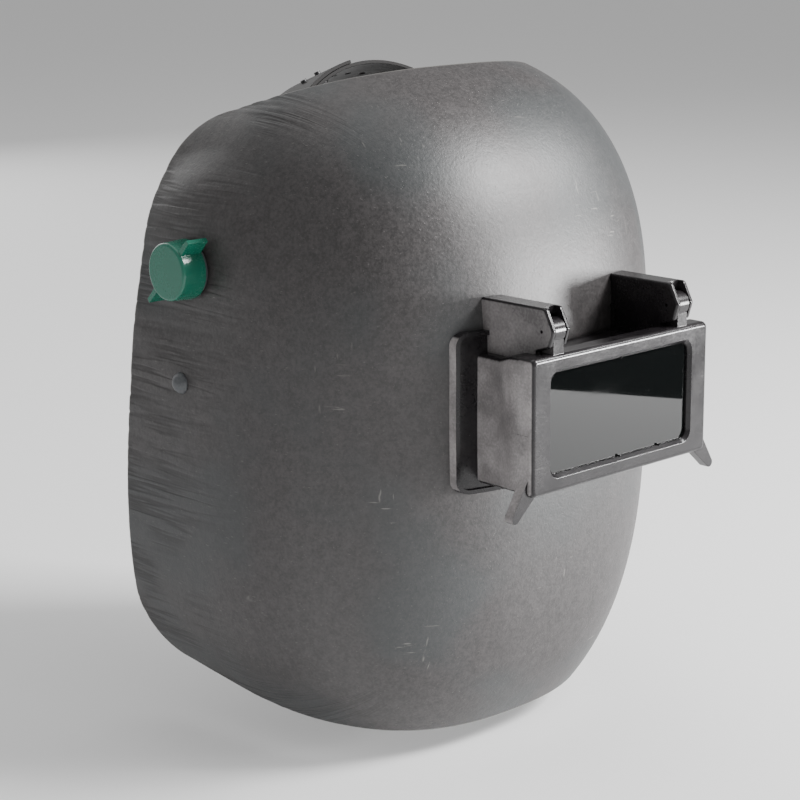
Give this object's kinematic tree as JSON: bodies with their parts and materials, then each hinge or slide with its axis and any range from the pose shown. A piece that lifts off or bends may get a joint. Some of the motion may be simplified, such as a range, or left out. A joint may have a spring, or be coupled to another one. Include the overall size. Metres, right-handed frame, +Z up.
{
  "type": "welding helmet",
  "caption": "Pressed fibre welding helmet with a lift-front lens holder, wing-knob pivots, stop pegs and a ratchet headband with a crown strap.",
  "frame": {"origin": "middle of the shell's tilt axis, between the two wing knobs and on the headband's plane", "axes": "+X to the wearer's left, -Y forward through the lens, +Z up"},
  "size_m": [0.2576, 0.2718, 0.2948],
  "materials": {
    "vulcanised_fibre": "satin charcoal pressed fibre with a fine mottle",
    "black_moulding": "semi-gloss black moulding",
    "clear_plate": "polished clear",
    "dark_filter": "polished, almost black filter glass",
    "green_moulding": "glossy green",
    "grey_nylon": "satin dark grey",
    "black_nylon": "satin black",
    "sweat_cloth": "brushed terry cloth",
    "spring_steel": "plated steel",
    "brass_insert": "turned"
  },
  "bodies": {
    "headgear": {"front_band": "black_nylon", "sweatband": "sweat_cloth", "band_tail_left": "black_nylon", "band_tail_right": "black_nylon", "strap_peg_left": "black_nylon", "strap_peg_right": "black_nylon", "side_bracket_left": "black_nylon", "side_bracket_right": "black_nylon", "stop_arm_left": "black_nylon", "stop_arm_right": "black_nylon", "pivot_stud_left": "spring_steel", "pivot_stud_right": "spring_steel", "ratchet_housing": "black_nylon", "ratchet_cover": "black_nylon", "nape_pad": "sweat_cloth"},
    "shell": {"fibre_shell": "vulcanised_fibre", "visor_housing": "black_moulding", "inner_clamp_frame": "black_moulding", "clamp_screws": "spring_steel", "safety_plate": "clear_plate", "safety_retainer": "spring_steel", "hinge_pin_left": "spring_steel", "hinge_pin_right": "spring_steel", "detent_leaf_left": "spring_steel", "detent_leaf_right": "spring_steel", "friction_washer_left": "grey_nylon", "friction_washer_right": "grey_nylon", "inner_spacer_left": "grey_nylon", "inner_spacer_right": "grey_nylon", "stop_peg_left": "grey_nylon", "stop_peg_right": "grey_nylon", "peg_nut_left": "spring_steel", "peg_nut_right": "spring_steel"},
    "lift_front": {"lift_frame": "black_moulding", "cover_plate": "clear_plate", "filter_plate": "dark_filter", "filter_retainer": "spring_steel"},
    "knob_left": {"wing_knob_left": "green_moulding", "knob_insert_left": "brass_insert"},
    "knob_right": {"wing_knob_right": "green_moulding", "knob_insert_right": "brass_insert"},
    "ratchet": {"ratchet_dial": "black_nylon", "ratchet_pinion": "grey_nylon"},
    "crown_strap": {"crown_strap_left": "black_nylon", "crown_strap_right": "black_nylon", "crown_pegs": "black_nylon"}
  },
  "joints": [
    {"name": "shell_tilt", "type": "hinge", "parent": "headgear", "child": "shell", "pos_m": [0, 0, 0], "axis": [-1, 0, 0], "range_deg": [0, 78]},
    {"name": "front_flip", "type": "hinge", "parent": "shell", "child": "lift_front", "pos_m": [0, -0.1414, -0.0178], "axis": [-1, 0, 0], "range_deg": [0, 95]},
    {"name": "knob_left_turn", "type": "hinge", "parent": "headgear", "child": "knob_left", "pos_m": [0, 0, 0], "axis": [1, 0, 0], "range_deg": [0, 360]},
    {"name": "knob_right_turn", "type": "hinge", "parent": "headgear", "child": "knob_right", "pos_m": [0, 0, 0], "axis": [-1, 0, 0], "range_deg": [0, 360]},
    {"name": "ratchet_turn", "type": "hinge", "parent": "headgear", "child": "ratchet", "pos_m": [0, 0.1, 0], "axis": [0, 1, 0], "range_deg": [-170, 170]},
    {"name": "strap_swing", "type": "hinge", "parent": "headgear", "child": "crown_strap", "pos_m": [0, -0.002, 0], "axis": [-1, 0, 0], "range_deg": [0, 58.5]}
  ],
  "couplings": [
    {"joint": "strap_swing", "follows": "shell_tilt", "ratio": 0.75}
  ]
}
